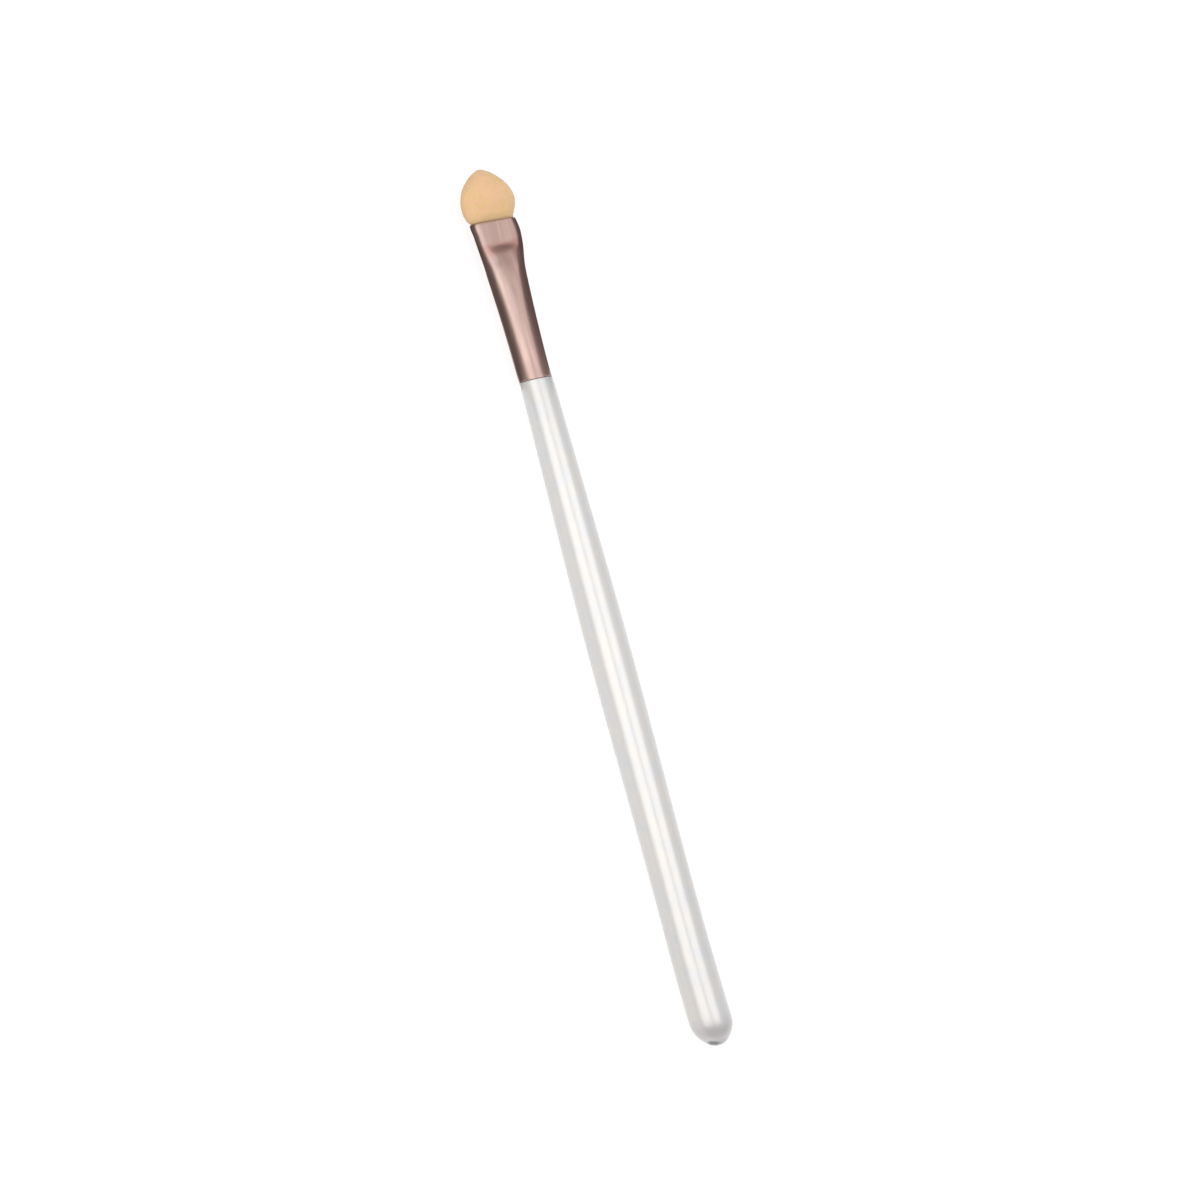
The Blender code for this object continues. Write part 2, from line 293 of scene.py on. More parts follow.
def add_piece(name, mesh, material, node):
    """A piece of the object that stands for a CAD node and moves with it."""
    piece = add_object(name, mesh, material)
    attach(piece, "root")
    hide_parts(node)
    return piece


# Material helpers


def feed(tree, socket, value):
    """Links another node's output to the socket, or sets a plain value there."""
    if isinstance(value, bpy.types.NodeSocket):
        tree.links.new(value, socket)
    else:
        socket.default_value = value


def calculate(tree, operation, first, second):
    node = tree.nodes.new("ShaderNodeMath")
    node.operation = operation
    feed(tree, node.inputs[0], first)
    feed(tree, node.inputs[1], second)
    return node.outputs["Value"]


class Recipe:
    """A node material on one Principled shader, built up by short calls."""

    def __init__(self, name):
        self.material = bpy.data.materials.new(name)
        self.material.use_nodes = True
        self.tree = self.material.node_tree
        self.shader = self.tree.nodes["Principled BSDF"]
        self.coordinates = self.add("ShaderNodeTexCoord").outputs["Object"]

    def add(self, kind, **settings):
        node = self.tree.nodes.new(kind)
        for key, value in settings.items():
            setattr(node, key, value)
        return node

    def feed(self, node, **inputs):
        """Inputs by name, with _ for each space: an output to link, or a value."""
        for key, value in inputs.items():
            feed(self.tree, node.inputs[key.replace("_", " ")], value)

    def feed_in_order(self, node, *values):
        for socket, value in zip(node.inputs, values):
            feed(self.tree, socket, value)

    def set(self, **inputs):
        self.feed(self.shader, **inputs)

    def stretched(self, x, y, z):
        """Object coordinates, scaled by so many cells a metre each way."""
        node = self.add("ShaderNodeMapping")
        self.feed(node, Scale=(x, y, z), Vector=self.coordinates)
        return node.outputs["Vector"]

    def noise(self, scale, detail, vector=None):
        node = self.add("ShaderNodeTexNoise")
        self.feed(node, Vector=vector or self.coordinates, Scale=scale, Detail=detail)
        return node.outputs["Fac"]

    def cells(self, scale, output="Distance"):
        node = self.add("ShaderNodeTexVoronoi")
        self.feed(node, Vector=self.coordinates, Scale=scale)
        return node.outputs[output]

    def spread(self, value, low, high, to_low=0.0, to_high=1.0):
        """The value, mapped from low..high to another range and held inside it."""
        node = self.add("ShaderNodeMapRange", interpolation_type="SMOOTHSTEP")
        self.feed_in_order(node, value, low, high, to_low, to_high)
        return node.outputs["Result"]

    def math(self, operation, first, second):
        return calculate(self.tree, operation, first, second)

    def mix(self, share, first, second, blend="MIX"):
        node = self.add("ShaderNodeMix", data_type="RGBA", blend_type=blend)
        sockets = {socket.identifier: socket for socket in node.inputs}
        feed(self.tree, sockets["Factor_Float"], share)
        for key, colour in (("A_Color", first), ("B_Color", second)):
            if isinstance(colour, tuple):
                colour = (*colour, 1)
            feed(self.tree, sockets[key], colour)
        return node.outputs[2]

    def bump(self, height, distance, strength, normal=None):
        node = self.add("ShaderNodeBump")
        self.feed(node, Distance=distance, Strength=strength, Height=height)
        if normal:
            self.feed(node, Normal=normal)
        return node.outputs["Normal"]

    def level_share(self, low, high):
        """Goes from 0 to 1 between two levels along the tool."""
        split = self.add("ShaderNodeSeparateXYZ")
        self.feed(split, Vector=self.coordinates)
        return self.spread(split.outputs["Y"], BUTT_Y + low, BUTT_Y + high)

    def distance_from(self, point, factors=(1.0, 1.0, 1.0)):
        """Distance from a point, with each direction weighed by its factor."""
        away = self.add("ShaderNodeVectorMath", operation="SUBTRACT")
        self.feed_in_order(away, self.coordinates, point)
        weighed = self.add("ShaderNodeVectorMath", operation="MULTIPLY")
        self.feed_in_order(weighed, away.outputs["Vector"], factors)
        length = self.add("ShaderNodeVectorMath", operation="LENGTH")
        self.feed_in_order(length, weighed.outputs["Vector"])
        return length.outputs["Value"]


# Materials. Scales of noise and cells are in cells a metre, and levels are heights above
# the butt

PEARL_WARM = (0.648, 0.624, 0.594)
PEARL_COOL = (0.612, 0.614, 0.622)
FLAKE_SHARE = 0.05
BLACK = (0.0, 0.0, 0.0)
HANDLED_SHARE = 0.038
HANDLED_LEVELS = (8 * MM, 50 * MM)
MARK_GREY = (0.26, 0.26, 0.27)
MARK_FADE = (0.75 * MM, 1.15 * MM)
# Painted shade at the butt, darker where the dome turns away from the light: the levels
# that each band fades out between, and its colour
BUTT_SHADE_BANDS = (
    (2.4 * MM, 6.0 * MM, (0.50, 0.48, 0.48)),
    (1.4 * MM, 2.4 * MM, (0.56, 0.535, 0.55)),
    (0.2 * MM, 1.4 * MM, (0.44, 0.42, 0.43)),
)
# A painted shade spot beside the centre mark, a dark crescent of shade on the dome: across,
# level and rise
SHADE_SPOT_PLACE = (-1.46 * MM, 0.48 * MM, 1.12 * MM)
SHADE_SPOT_FACTORS = (0.42, 1.0, 0.7)
SHADE_SPOT_FADE = (0.30 * MM, 0.85 * MM)
SHADE_SPOT_GREY = (0.15, 0.15, 0.158)


def pearl_lacquer():
    """White pearl lacquer: mica flakes under a clear gloss coat."""
    look = Recipe("pearl_lacquer")
    cloud = look.spread(look.noise(330, detail=3), 0.3, 0.7)
    pearl = look.mix(cloud, PEARL_WARM, PEARL_COOL)
    flake = look.cells(13000, output="Color")
    tint = look.mix(FLAKE_SHARE, pearl, flake, blend="OVERLAY")
    handled = look.mix(HANDLED_SHARE, tint, BLACK)
    tint = look.mix(look.level_share(*HANDLED_LEVELS), handled, tint)
    mark = look.spread(look.distance_from(place(0, 0, 0)), *MARK_FADE)
    tint = look.mix(mark, MARK_GREY, tint)
    # Painted shade over the dome at the butt
    for low, high, butt_shade in BUTT_SHADE_BANDS:
        tint = look.mix(look.level_share(low, high), butt_shade, tint)
    # Painted shade spot on the dome of the butt
    shade_spot_distance = look.distance_from(place(*SHADE_SPOT_PLACE), SHADE_SPOT_FACTORS)
    shade_spot_share = look.spread(shade_spot_distance, *SHADE_SPOT_FADE)
    look.set(
        Base_Color=look.mix(shade_spot_share, SHADE_SPOT_GREY, tint),
        Metallic=0.26,
        Specular_IOR_Level=0.25,
        Roughness=look.spread(look.noise(5200, detail=1), 0.2, 0.8, 0.29, 0.35),
        Normal=look.bump(look.cells(15000), 0.004 * MM, 0.35),
        Coat_Weight=1.0,
        Coat_Roughness=0.16,
        Coat_IOR=1.4,
        Coat_Normal=look.bump(look.noise(620, detail=1), 0.006 * MM, 0.30),
    )
    return look.material


ROSE_LIGHT = (0.503, 0.350, 0.306)
ROSE_DARK = (0.430, 0.290, 0.265)
# Painted shade in the land's step, where the ramp faces away from the light: the levels
# that it comes in and goes out between
STEP_SHADE = (0.420, 0.245, 0.212)
STEP_START = (134.4 * MM, 136.4 * MM)
STEP_END = (137.0 * MM, 137.7 * MM)
# Painted shade on the slope behind the step: across, level and rise of its middle
SLOPE_SHADE = (0.384, 0.252, 0.226)
SLOPE_SHADE_PLACE = (-0.18 * MM, 135.8 * MM, 0)
SLOPE_SHADE_FACTORS = (1.0, 0.24, 0.0)
SLOPE_SHADE_FADE = (0.4 * MM, 1.3 * MM)
# Painted shade at the tube's end by the handle: its colour, and the levels that it fades
# out between
TUBE_END_SHADE = (0.402, 0.270, 0.241)
TUBE_END_SHADE_LEVELS = (114.0 * MM, 118.5 * MM)
# Painted shade at the lip, in the crease where the foam goes in: its colour, and the levels
# that it comes in between
LIP_SHADE = (0.380, 0.245, 0.185)
LIP_SHADE_LEVELS = (MOUTH_LEVEL - 0.42 * MM, MOUTH_LEVEL - 0.10 * MM)


def anodised_rose():
    """Rose-bronze anodised aluminium, drawn along its length and satin all over."""
    look = Recipe("anodised_rose")
    drawn = look.noise(1, detail=3, vector=look.stretched(9000, 210, 9000))
    broad = look.noise(1, detail=2, vector=look.stretched(1500, 120, 1500))
    colour = look.mix(look.spread(broad, 0.3, 0.7), ROSE_LIGHT, ROSE_DARK)
    # Painted shade on the land's step
    in_step = look.level_share(*STEP_START)
    step_shade_share = look.math("SUBTRACT", in_step, look.level_share(*STEP_END))
    colour = look.mix(step_shade_share, colour, STEP_SHADE)
    # Painted shade on the slope behind the step, kept out of the step itself
    slope_shade_share = look.distance_from(place(*SLOPE_SHADE_PLACE), SLOPE_SHADE_FACTORS)
    slope_shade_share = look.spread(slope_shade_share, *SLOPE_SHADE_FADE, 1.0, 0.0)
    slope_shade_share = look.math("MULTIPLY", slope_shade_share, look.math("SUBTRACT", 1.0, in_step))
    colour = look.mix(slope_shade_share, colour, SLOPE_SHADE)
    # Painted shade at the tube's end by the handle
    colour = look.mix(look.level_share(*TUBE_END_SHADE_LEVELS), TUBE_END_SHADE, colour)
    # Painted shade in the crease at the mouth's lip
    lip_shade_share = look.level_share(*LIP_SHADE_LEVELS)
    grain = look.bump(drawn, 0.003 * MM, 0.30)
    look.set(
        Base_Color=look.mix(lip_shade_share, colour, LIP_SHADE),
        Metallic=1.0,
        Roughness=look.spread(drawn, 0.25, 0.75, 0.31, 0.38),
        Normal=look.bump(look.noise(3800, detail=2), 0.003 * MM, 0.20, grain),
        Coat_Weight=0.25,
        Coat_Roughness=0.34,
    )
    return look.material


FOAM_PEACH = (0.800, 0.524, 0.294)
FOAM_YELLOW = (0.760, 0.511, 0.250)
FOAM_PINK = (0.820, 0.500, 0.320)
# Shade by the mouth: how far out each layer of it reaches, and its darkest share
MOUTH_SHADES = ((6.0 * MM, 0.92), (1.8 * MM, 0.92), (0.55 * MM, 0.88))


def open_foam():
    """Soft open-cell foam, with pores a fifth of a millimetre wide."""
    look = Recipe("open_foam")
    patch = look.spread(look.noise(430, detail=3), 0.32, 0.68)
    colour = look.mix(patch, FOAM_PEACH, FOAM_YELLOW)
    pink = look.spread(look.noise(900, detail=2), 0.45, 0.75)
    colour = look.mix(pink, colour, FOAM_PINK)
    pore = look.cells(5600)
    pit = look.spread(pore, 0.05, 0.42, 0.80, 1.0)
    fleck = look.spread(look.noise(9000, detail=2), 0.3, 0.7, 0.95, 1.04)
    shade = look.math("MULTIPLY", pit, fleck)
    for reach, darkest in MOUTH_SHADES:
        out = look.level_share(MOUTH_LEVEL, MOUTH_LEVEL + reach)
        shade = look.math("MULTIPLY", shade, look.spread(out, 0.0, 1.0, darkest, 1.0))
    grey = look.add("ShaderNodeCombineColor")
    look.feed(grey, Red=shade, Green=shade, Blue=shade)
    open_cells = look.bump(pore, 0.05 * MM, 0.45)
    look.set(
        Base_Color=look.mix(1.0, colour, grey.outputs["Color"], blend="MULTIPLY"),
        Roughness=0.92,
        Normal=look.bump(look.noise(11000, detail=3), 0.02 * MM, 0.4, open_cells),
        Specular_IOR_Level=0.18,
        Subsurface_Weight=0.12,
        Subsurface_Radius=(1.0, 0.55, 0.30),
        Subsurface_Scale=0.5 * MM,
        Sheen_Weight=0.45,
        Sheen_Roughness=0.5,
    )
    return look.material


PLASTIC_COLOURS = ((0.82, 0.80, 0.76), (0.79, 0.775, 0.735))
THROAT_GLUE_COLOURS = ((0.70, 0.62, 0.44), (0.64, 0.55, 0.37))
TENON_GLUE_COLOURS = ((0.74, 0.66, 0.48), (0.68, 0.60, 0.42))


def moulded_plastic():
    """Milky moulded plastic of the core."""
    look = Recipe("moulded_plastic")
    cloud = look.spread(look.noise(700, detail=2), 0.3, 0.7)
    look.set(
        Base_Color=look.mix(cloud, *PLASTIC_COLOURS),
        Roughness=0.42,
        Normal=look.bump(look.noise(6000, detail=2), 0.01 * MM, 0.2),
    )
    return look.material


def cured_glue(name, colours):
    """Cured glue: amber, a little cloudy, with fine bubbles."""
    look = Recipe(name)
    cloud = look.spread(look.noise(900, detail=3), 0.3, 0.7)
    bubble = look.spread(look.cells(3000), 0.05, 0.25, 0.85, 1.0)
    look.set(
        Base_Color=look.mix(cloud, *colours),
        Roughness=look.math("MULTIPLY", bubble, 0.42),
        Subsurface_Weight=0.2,
        Subsurface_Radius=(1.0, 0.8, 0.4),
        Subsurface_Scale=0.4 * MM,
        Normal=look.bump(bubble, 0.03 * MM, 0.3),
    )
    return look.material


def dress_inner_nodes():
    """The core and the glue stay as the CAD made them, with their own materials."""
    looks = {
        "applicator_core": moulded_plastic(),
        "throat_adhesive": cured_glue("throat_glue", THROAT_GLUE_COLOURS),
        "tenon_adhesive": cured_glue("tenon_glue", TENON_GLUE_COLOURS),
    }
    for name, look in looks.items():
        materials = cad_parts[name].data.materials
        materials.clear()
        materials.append(look)


# Handle


def handle_outline():
    """Level and radius of the turned outline, from the centre mark to the tenon's end."""
    outline = [(MARK_DEPTH * depth, radius) for depth, radius in MARK_PROFILE]
    dome = [(0.0, MARK_RADIUS + MARK_RIM)]
    dome += [(DOME_LENGTH * level, BUTT_RADIUS * radius) for radius, level in DOME_SHARES]
    dome.append((DOME_LENGTH, BUTT_RADIUS))
    outline += spline(dome, 8)
    for low, high, before, after in (
        (DOME_LENGTH, WAIST_LEVEL, BUTT_RADIUS, WAIST_RADIUS),
        (WAIST_LEVEL, BELLY_LEVEL, WAIST_RADIUS, BELLY_RADIUS),
    ):
        for share in shares(60)[1:]:
            level = between(low, high, share)
            outline.append((level, between(before, after, smooth_step(share))))
    neck = HANDLE_LENGTH - FIT_GAP - SHOULDER_EDGE
    for share in shares(90)[1:]:
        level = between(BELLY_LEVEL, neck, share)
        left = 1 - share
        swell = left + left**2 - left**3
        outline.append((level, between(NECK_RADIUS, BELLY_RADIUS, swell)))
    for turn in quarter_turn(5)[1:]:
        level = neck + SHOULDER_EDGE * math.sin(turn)
        outline.append((level, NECK_RADIUS - SHOULDER_EDGE * (1 - math.cos(turn))))
    tenon_top = HANDLE_LENGTH + TENON_LENGTH
    outline += [
        (HANDLE_LENGTH - FIT_GAP, TENON_RADIUS),
        (tenon_top - TENON_CHAMFER, TENON_RADIUS),
        (tenon_top, TENON_RADIUS - TENON_CHAMFER),
    ]
    return outline


def make_handle():
    rings = []
    for level, radius in handle_outline():
        ring = []
        for step in range(HANDLE_POINTS):
            turn = math.tau * step / HANDLE_POINTS
            ring.append(place(radius * math.cos(turn), level, radius * math.sin(turn)))
        rings.append(ring)
    mesh = skin("turned_handle", rings)
    add_piece("turned_handle", mesh, pearl_lacquer(), "handle")


# Ferrule


def bend_ease(level):
    """Rounds off the bend in the tube's sides at the shoulder."""
    past = level - SHOULDER_LEVEL
    if abs(past) >= SHOULDER_EASE:
        return 0.0
    slope_before = 2 * (SHOULDER_WIDTH / 2 - FERRULE_RADIUS) / SHOULDER_LEVEL
    slope_after = (MOUTH_WIDTH - SHOULDER_WIDTH) / (TUCK_LEVEL - SHOULDER_LEVEL)
    rounded = (past + SHOULDER_EASE) ** 2 / (4 * SHOULDER_EASE)
    return (slope_after - slope_before) * (rounded - max(0.0, past))


def ferrule_half_width(level):
    if level <= SHOULDER_LEVEL:
        flattened = (level / SHOULDER_LEVEL) ** 2
        return between(FERRULE_RADIUS, SHOULDER_WIDTH / 2, flattened) + bend_ease(level)
    if level <= TUCK_LEVEL:
        pressed = (level - SHOULDER_LEVEL) / (TUCK_LEVEL - SHOULDER_LEVEL)
        widened = between(SHOULDER_WIDTH / 2, MOUTH_WIDTH / 2, ease_out(pressed, 2))
        return widened + bend_ease(level)
    tucked = (level - TUCK_LEVEL) / MOUTH_TUCK_LENGTH
    return MOUTH_WIDTH / 2 - MOUTH_TUCK * tucked**2


def unpressed_half_thickness(level):
    """What the tube would keep if no land were pressed into it."""
    flattened = (max(level, 0) / SHOULDER_LEVEL) ** 3
    return between(FERRULE_RADIUS, SHOULDER_THICKNESS / 2, flattened)


def ferrule_half_thickness(level):
    if level >= LAND_LEVEL:
        return MOUTH_THICKNESS / 2
    down_the_ramp = max(0.0, level - SHOULDER_LEVEL) / LAND_RAMP
    pressed = smooth_step(down_the_ramp**LAND_RAMP_POWER)
    return between(unpressed_half_thickness(level), MOUTH_THICKNESS / 2, pressed)


def eased_half_thickness(level):
    """The gentler slope that the ends of the land's step run out to."""
    pressed = fade(level, *LAND_END_LEVELS)
    return between(unpressed_half_thickness(level), MOUTH_THICKNESS / 2, pressed)


def dish_depth(level):
    """How far the middle of each flat side sinks, from pressing the tube."""
    if level > SHOULDER_LEVEL:
        landed = fade(level, SHOULDER_LEVEL, LAND_LEVEL)
        return between(SHOULDER_DISH, LAND_DISH, landed)
    return SHOULDER_DISH * fade(level, SHOULDER_LEVEL - SHOULDER_DISH_REACH, SHOULDER_LEVEL)


def oval_share(level):
    """How much of the section's flat side is crowned like an oval."""
    landed = fade(level, SHOULDER_LEVEL, LAND_LEVEL)
    share = between(SHOULDER_OVAL_SHARE, LAND_OVAL_SHARE, landed)
    return share * fade(level, 0, OVAL_REACH)


def oval_points(half_width, half_thickness, count):
    """Evenly spaced points of an outline with two flat sides and round ends."""
    flat = half_width - half_thickness
    arc = math.pi * half_thickness
    whole = 2 * arc + 4 * flat

    def on_end(centre, turn):
        x = centre + half_thickness * math.cos(turn)
        return (x, half_thickness * math.sin(turn))

    points = []
    for step in range(count):
        run = whole * step / count
        if run < arc / 2:
            points.append(on_end(flat, run / half_thickness))
        elif run < arc / 2 + 2 * flat:
            points.append((flat - (run - arc / 2), half_thickness))
        elif run < 1.5 * arc + 2 * flat:
            turn = math.pi / 2 + (run - arc / 2 - 2 * flat) / half_thickness
            points.append(on_end(-flat, turn))
        elif run < 1.5 * arc + 4 * flat:
            points.append((-flat + (run - 1.5 * arc - 2 * flat), -half_thickness))
        else:
            turn = 1.5 * math.pi + (run - 1.5 * arc - 4 * flat) / half_thickness
            points.append(on_end(flat, turn))
    return points


def ferrule_ring(level, inset):
    """The tube's section, drawn in by the inset, with the land's step arched across."""
    half_width = ferrule_half_width(level)
    half_thickness = ferrule_half_thickness(level)
    flat = half_width - half_thickness + LAND_ARCH_MARGIN
    outline = oval_points(half_width - inset, half_thickness - inset, FERRULE_POINTS)
    ring = []
    for x, rise in outline:
        middle = max(0.0, 1 - (x / flat) ** 2)
        arch = LAND_ARCH * middle * smooth_step(level / SHOULDER_LEVEL)
        later = ferrule_half_thickness(level - arch)
        later = between(later, eased_half_thickness(level), LAND_END_EASE * (1 - middle))
        later -= dish_depth(level) * middle**DISH_POWER
        grown = rise * (later - inset) / (half_thickness - inset)
        oval = math.sqrt(max(0.0, 1 - (x / (half_width - inset)) ** 2)) * (later - inset)
        grown = between(grown, math.copysign(oval, rise), oval_share(level))
        ring.append(place(x, HANDLE_LENGTH + level, grown))
    return ring


def ferrule_levels():
    """Levels of the tube's full rings, closest together on the land's ramp."""
    levels = [TUBE_EDGE_LENGTH]
    for end, count in (
        (SHOULDER_LEVEL, 80),
        (LAND_LEVEL + LAND_ARCH, 72),
        (FERRULE_LENGTH - LIP_ROUND, 32),
    ):
        start = levels[-1]
        levels += [between(start, end, share) for share in shares(count)[1:]]
    return levels


def make_ferrule():
    levels = ferrule_levels()
    rings = [ferrule_ring(level, inset) for level, inset in TUBE_EDGE]
    rings += [ferrule_ring(level, 0) for level in levels]
    lip = quarter_turn(4)
    for turn in lip[1:]:
        level = FERRULE_LENGTH - LIP_ROUND * (1 - math.sin(turn))
        rings.append(ferrule_ring(level, LIP_ROUND * (1 - math.cos(turn))))
    for turn in lip[:-1]:
        level = FERRULE_LENGTH - LIP_ROUND * (1 - math.cos(turn))
        rings.append(ferrule_ring(level, FERRULE_WALL - LIP_ROUND * (1 - math.sin(turn))))
    rings += [ferrule_ring(level, FERRULE_WALL) for level in levels[::-2]]
    rings.append(ferrule_ring(0, FERRULE_WALL))
    mesh = skin("pressed_ferrule", rings, joined=True, sharp_degrees=55)
    add_piece("pressed_ferrule", mesh, anodised_rose(), "ferrule")


# Foam tip


def foam_stations():
    """Level, half width, half thickness and crown share of each section, going up."""
    inset = FERRULE_WALL + FIT_GAP
    stations = []
    for share in shares(20):
        level = between(FERRULE_LENGTH - SPONGE_ROOT, FERRULE_LENGTH, share)
        pinched = fade(level, FERRULE_LENGTH - ROOT_PINCH_REACH, FERRULE_LENGTH)
        half_width = ferrule_half_width(level) - inset
        half_thickness = ferrule_half_thickness(level) - inset - ROOT_PINCH * pinched
        stations.append((HANDLE_LENGTH + level, half_width, half_thickness, 0.0))
    mouth_width, mouth_thickness = stations[-1][1:3]
    for share in shares(28)[1:]:
        bulge = ease_out(share, 3)
        level = MOUTH_LEVEL + SWELL_LENGTH * share
        half_width = between(mouth_width, SPONGE_WIDTH / 2, ease_out(share, 2))
        half_thickness = between(mouth_thickness, SPONGE_THICKNESS / 2, bulge)
        stations.append((level, half_width, half_thickness, bulge))
    for share in shares(56)[1:]:
        reach = math.sin(min(share, TIP_LAST_SHARE) * math.pi / 2)
        taper = 1 - reach**2
        crown = math.sqrt(taper)
        level = between(MOUTH_LEVEL + SWELL_LENGTH, TIP_LEVEL, reach)
        half_width = SPONGE_WIDTH / 2 * between(taper, crown, TIP_ROUND_SHARE)
        stations.append((level, half_width, SPONGE_THICKNESS / 2 * crown, 1.0))
    return stations


def crown_rise(across, half_width, half_thickness, crown):
    """Height of the foam's face over the bonded plane, at a share of its half width."""
    free = math.sqrt(1 - across**2)
    full = math.sqrt(1 - across**4)
    crowned = half_thickness * between(free, full, CROWN_FULL_SHARE)
    past_flat = max(0.0, abs(across) * half_width - (half_width - half_thickness))
    squeezed = math.sqrt(max(0.0, half_thickness**2 - past_flat**2))
    return between(squeezed, crowned, crown)


def foam_ring(level, half_width, half_thickness, crown, side):
    """One section: over the crown from edge to edge, with the edges turned in."""
    size = min(1.0, half_thickness / SEAM_FULL)
    edge = [(inset * size * MM, rise * size * SEAM_HALF) for inset, rise in SEAM_TURN]
    ring = [(-half_width + inset, rise) for inset, rise in edge]
    lowest = edge[-1][1] * SEAM_CLEARANCE
    for step in range(2, FOAM_POINTS - 1):
        across = -math.cos(math.pi * step / FOAM_POINTS)
        rise = crown_rise(across, half_width, half_thickness, crown)
        ring.append((half_width * across, max(rise, lowest)))
    ring += [(half_width - inset, rise) for inset, rise in edge[::-1]]
    return [place(x, level, side * rise) for x, rise in ring]


def swell_foam(mesh, side):
    """Moves the foam's free face by its waves, its grain and its puckers."""
    seed = Vector((11.0, 3.0 * side, 7.0))
    moves = []
    for vertex in mesh.vertices:
        spot = vertex.co / MM
        rise = abs(vertex.co.z - AXIS_Z)
        out = vertex.co.y - BUTT_Y - MOUTH_LEVEL
        if out <= HELD_LENGTH:
            moves.append(Vector((0, 0, 0)))
            continue
        waves = 0.0
        for cells, height in FOAM_WAVES:
            waves += noise.noise(spot * cells + seed) * height
        waves *= fade(out, 0, WAVES_FULL) * fade(rise, *WAVES_RISE)
        spot = Vector((spot.x * PUCKER_CELLS[0], spot.y * PUCKER_CELLS[1], 4.0 * side))
        pucker = noise.noise(spot) * PUCKER_HEIGHT
        pucker *= math.exp(-out / PUCKER_REACH) * fade(out, 0, PUCKER_FULL)
        pucker *= fade(rise, *PUCKER_RISE)
        moves.append(vertex.normal * ((waves + pucker) * MM))
    for vertex, move in zip(mesh.vertices, moves):
        vertex.co += move
    mesh.update()


def make_foam(name, side, node, material):
    rings = [foam_ring(*station, side) for station in foam_stations()]
    mesh = skin(name, rings, sharp_degrees=70)
    swell_foam(mesh, side)
    layer = add_piece(name, mesh, material, node)


# Studio

FLOOR_SIZE = 3.0
FLOOR_DROP = 0.08 * MM
PAPER_GREY = 0.80
SEEN_PAPER_GREY = 0.30
SEEN_PAPER_GLOW = 0.78

LIGHT_DISTANCE = 0.60
LIGHT_LENGTH = 0.50
# Angle round the tool's axis from straight up towards +X, width, level and colour
SOFTBOXES = (
    ("left_softbox", -41.0, 0.509, 1.86, (1.0, 0.975, 0.94)),
    ("right_softbox", 11.0, 0.437, 1.75, (0.985, 0.985, 1.0)),
)

# The small cards round the ferrule: stations along Y, in mm, and the cards' edges there,
# as angles from straight up towards +X
FLAG_RADIUS = 45 * MM
FLAG_STATIONS = (38.1, 52.4, 58.0, 66.0, 89.2)
RIGHT_FLAG_STATIONS = (40.4, 52.4, 58.0, 66.0, 89.2)
SCRIM_RADIUS = 100 * MM
SCRIM_STATIONS = (44.7, 57.0, 64.0, 75.0, 92.2)
EDGE_STATIONS = (44.7, 57.0, 64.0, 75.0, 106.0)
LEFT_SIDE = (-90.0,) * 5
LEFT_END = (-82.0, -71.0, -60.5, -56.8, -55.5)
GAP_START = (-32.0, -21.0, -12.0, 3.0, 19.0)
GAP_END = (-14.0, -6.0, -3.0, 8.0, 27.0)
EDGE_START = (31.0, 34.0, 33.0, 28.0, 27.0)
RIGHT_END = (31.5, 37.0, 35.5, 36.5, 51.0)
RIGHT_SIDE = (90.0,) * 5
# The flags' skirts over the floor, and the card across the end
CARD_LIFT = 1 * MM
SKIRT_INNER_EDGE = 3.4 * MM
END_FLAG_Y = 135 * MM
END_FLAG_HALF_WIDTH = 60 * MM
END_FLAG_TOP = 80 * MM


def add_grey(tree, grey):
    node = tree.nodes.new("ShaderNodeBsdfDiffuse")
    node.inputs["Color"].default_value = (grey, grey, grey, 1)
    return node.outputs["BSDF"]


def add_glow(tree, level, colour):
    node = tree.nodes.new("ShaderNodeEmission")
    node.inputs["Strength"].default_value = level
    node.inputs["Color"].default_value = (*colour, 1)
    return node.outputs["Emission"]


def bare_material(name):
    material = bpy.data.materials.new(name)
    material.use_nodes = True
    material.node_tree.nodes.clear()
    return material, material.node_tree


def show(tree, shader):
    output = tree.nodes.new("ShaderNodeOutputMaterial")
    tree.links.new(shader, output.inputs["Surface"])


def floor_material():
    """White paper. Camera, glossy and transmission rays see it lit up, faintly shaded."""
    material, tree = bare_material("white_paper")
    add, link = tree.nodes.new, tree.links.new
    rays = add("ShaderNodeLightPath")
    seen = rays.outputs["Is Camera Ray"]
    for kind in ("Is Glossy Ray", "Is Transmission Ray"):
        seen = calculate(tree, "MAXIMUM", seen, rays.outputs[kind])
    shown = add("ShaderNodeAddShader")
    link(add_grey(tree, SEEN_PAPER_GREY), shown.inputs[0])
    link(add_glow(tree, SEEN_PAPER_GLOW, (1, 1, 1)), shown.inputs[1])
    either = add("ShaderNodeMixShader")
    link(seen, either.inputs["Fac"])
    link(add_grey(tree, PAPER_GREY), either.inputs[1])
    link(shown.outputs["Shader"], either.inputs[2])
    show(tree, either.outputs["Shader"])
    return material


def make_floor():
    shape = bmesh.new()
    bmesh.ops.create_grid(shape, x_segments=4, y_segments=4, size=FLOOR_SIZE)
    bmesh.ops.translate(shape, verts=shape.verts, vec=(0, 0, -FLOOR_DROP))
    mesh = as_mesh("studio_floor", shape)
    add_object("studio_floor", mesh, floor_material())


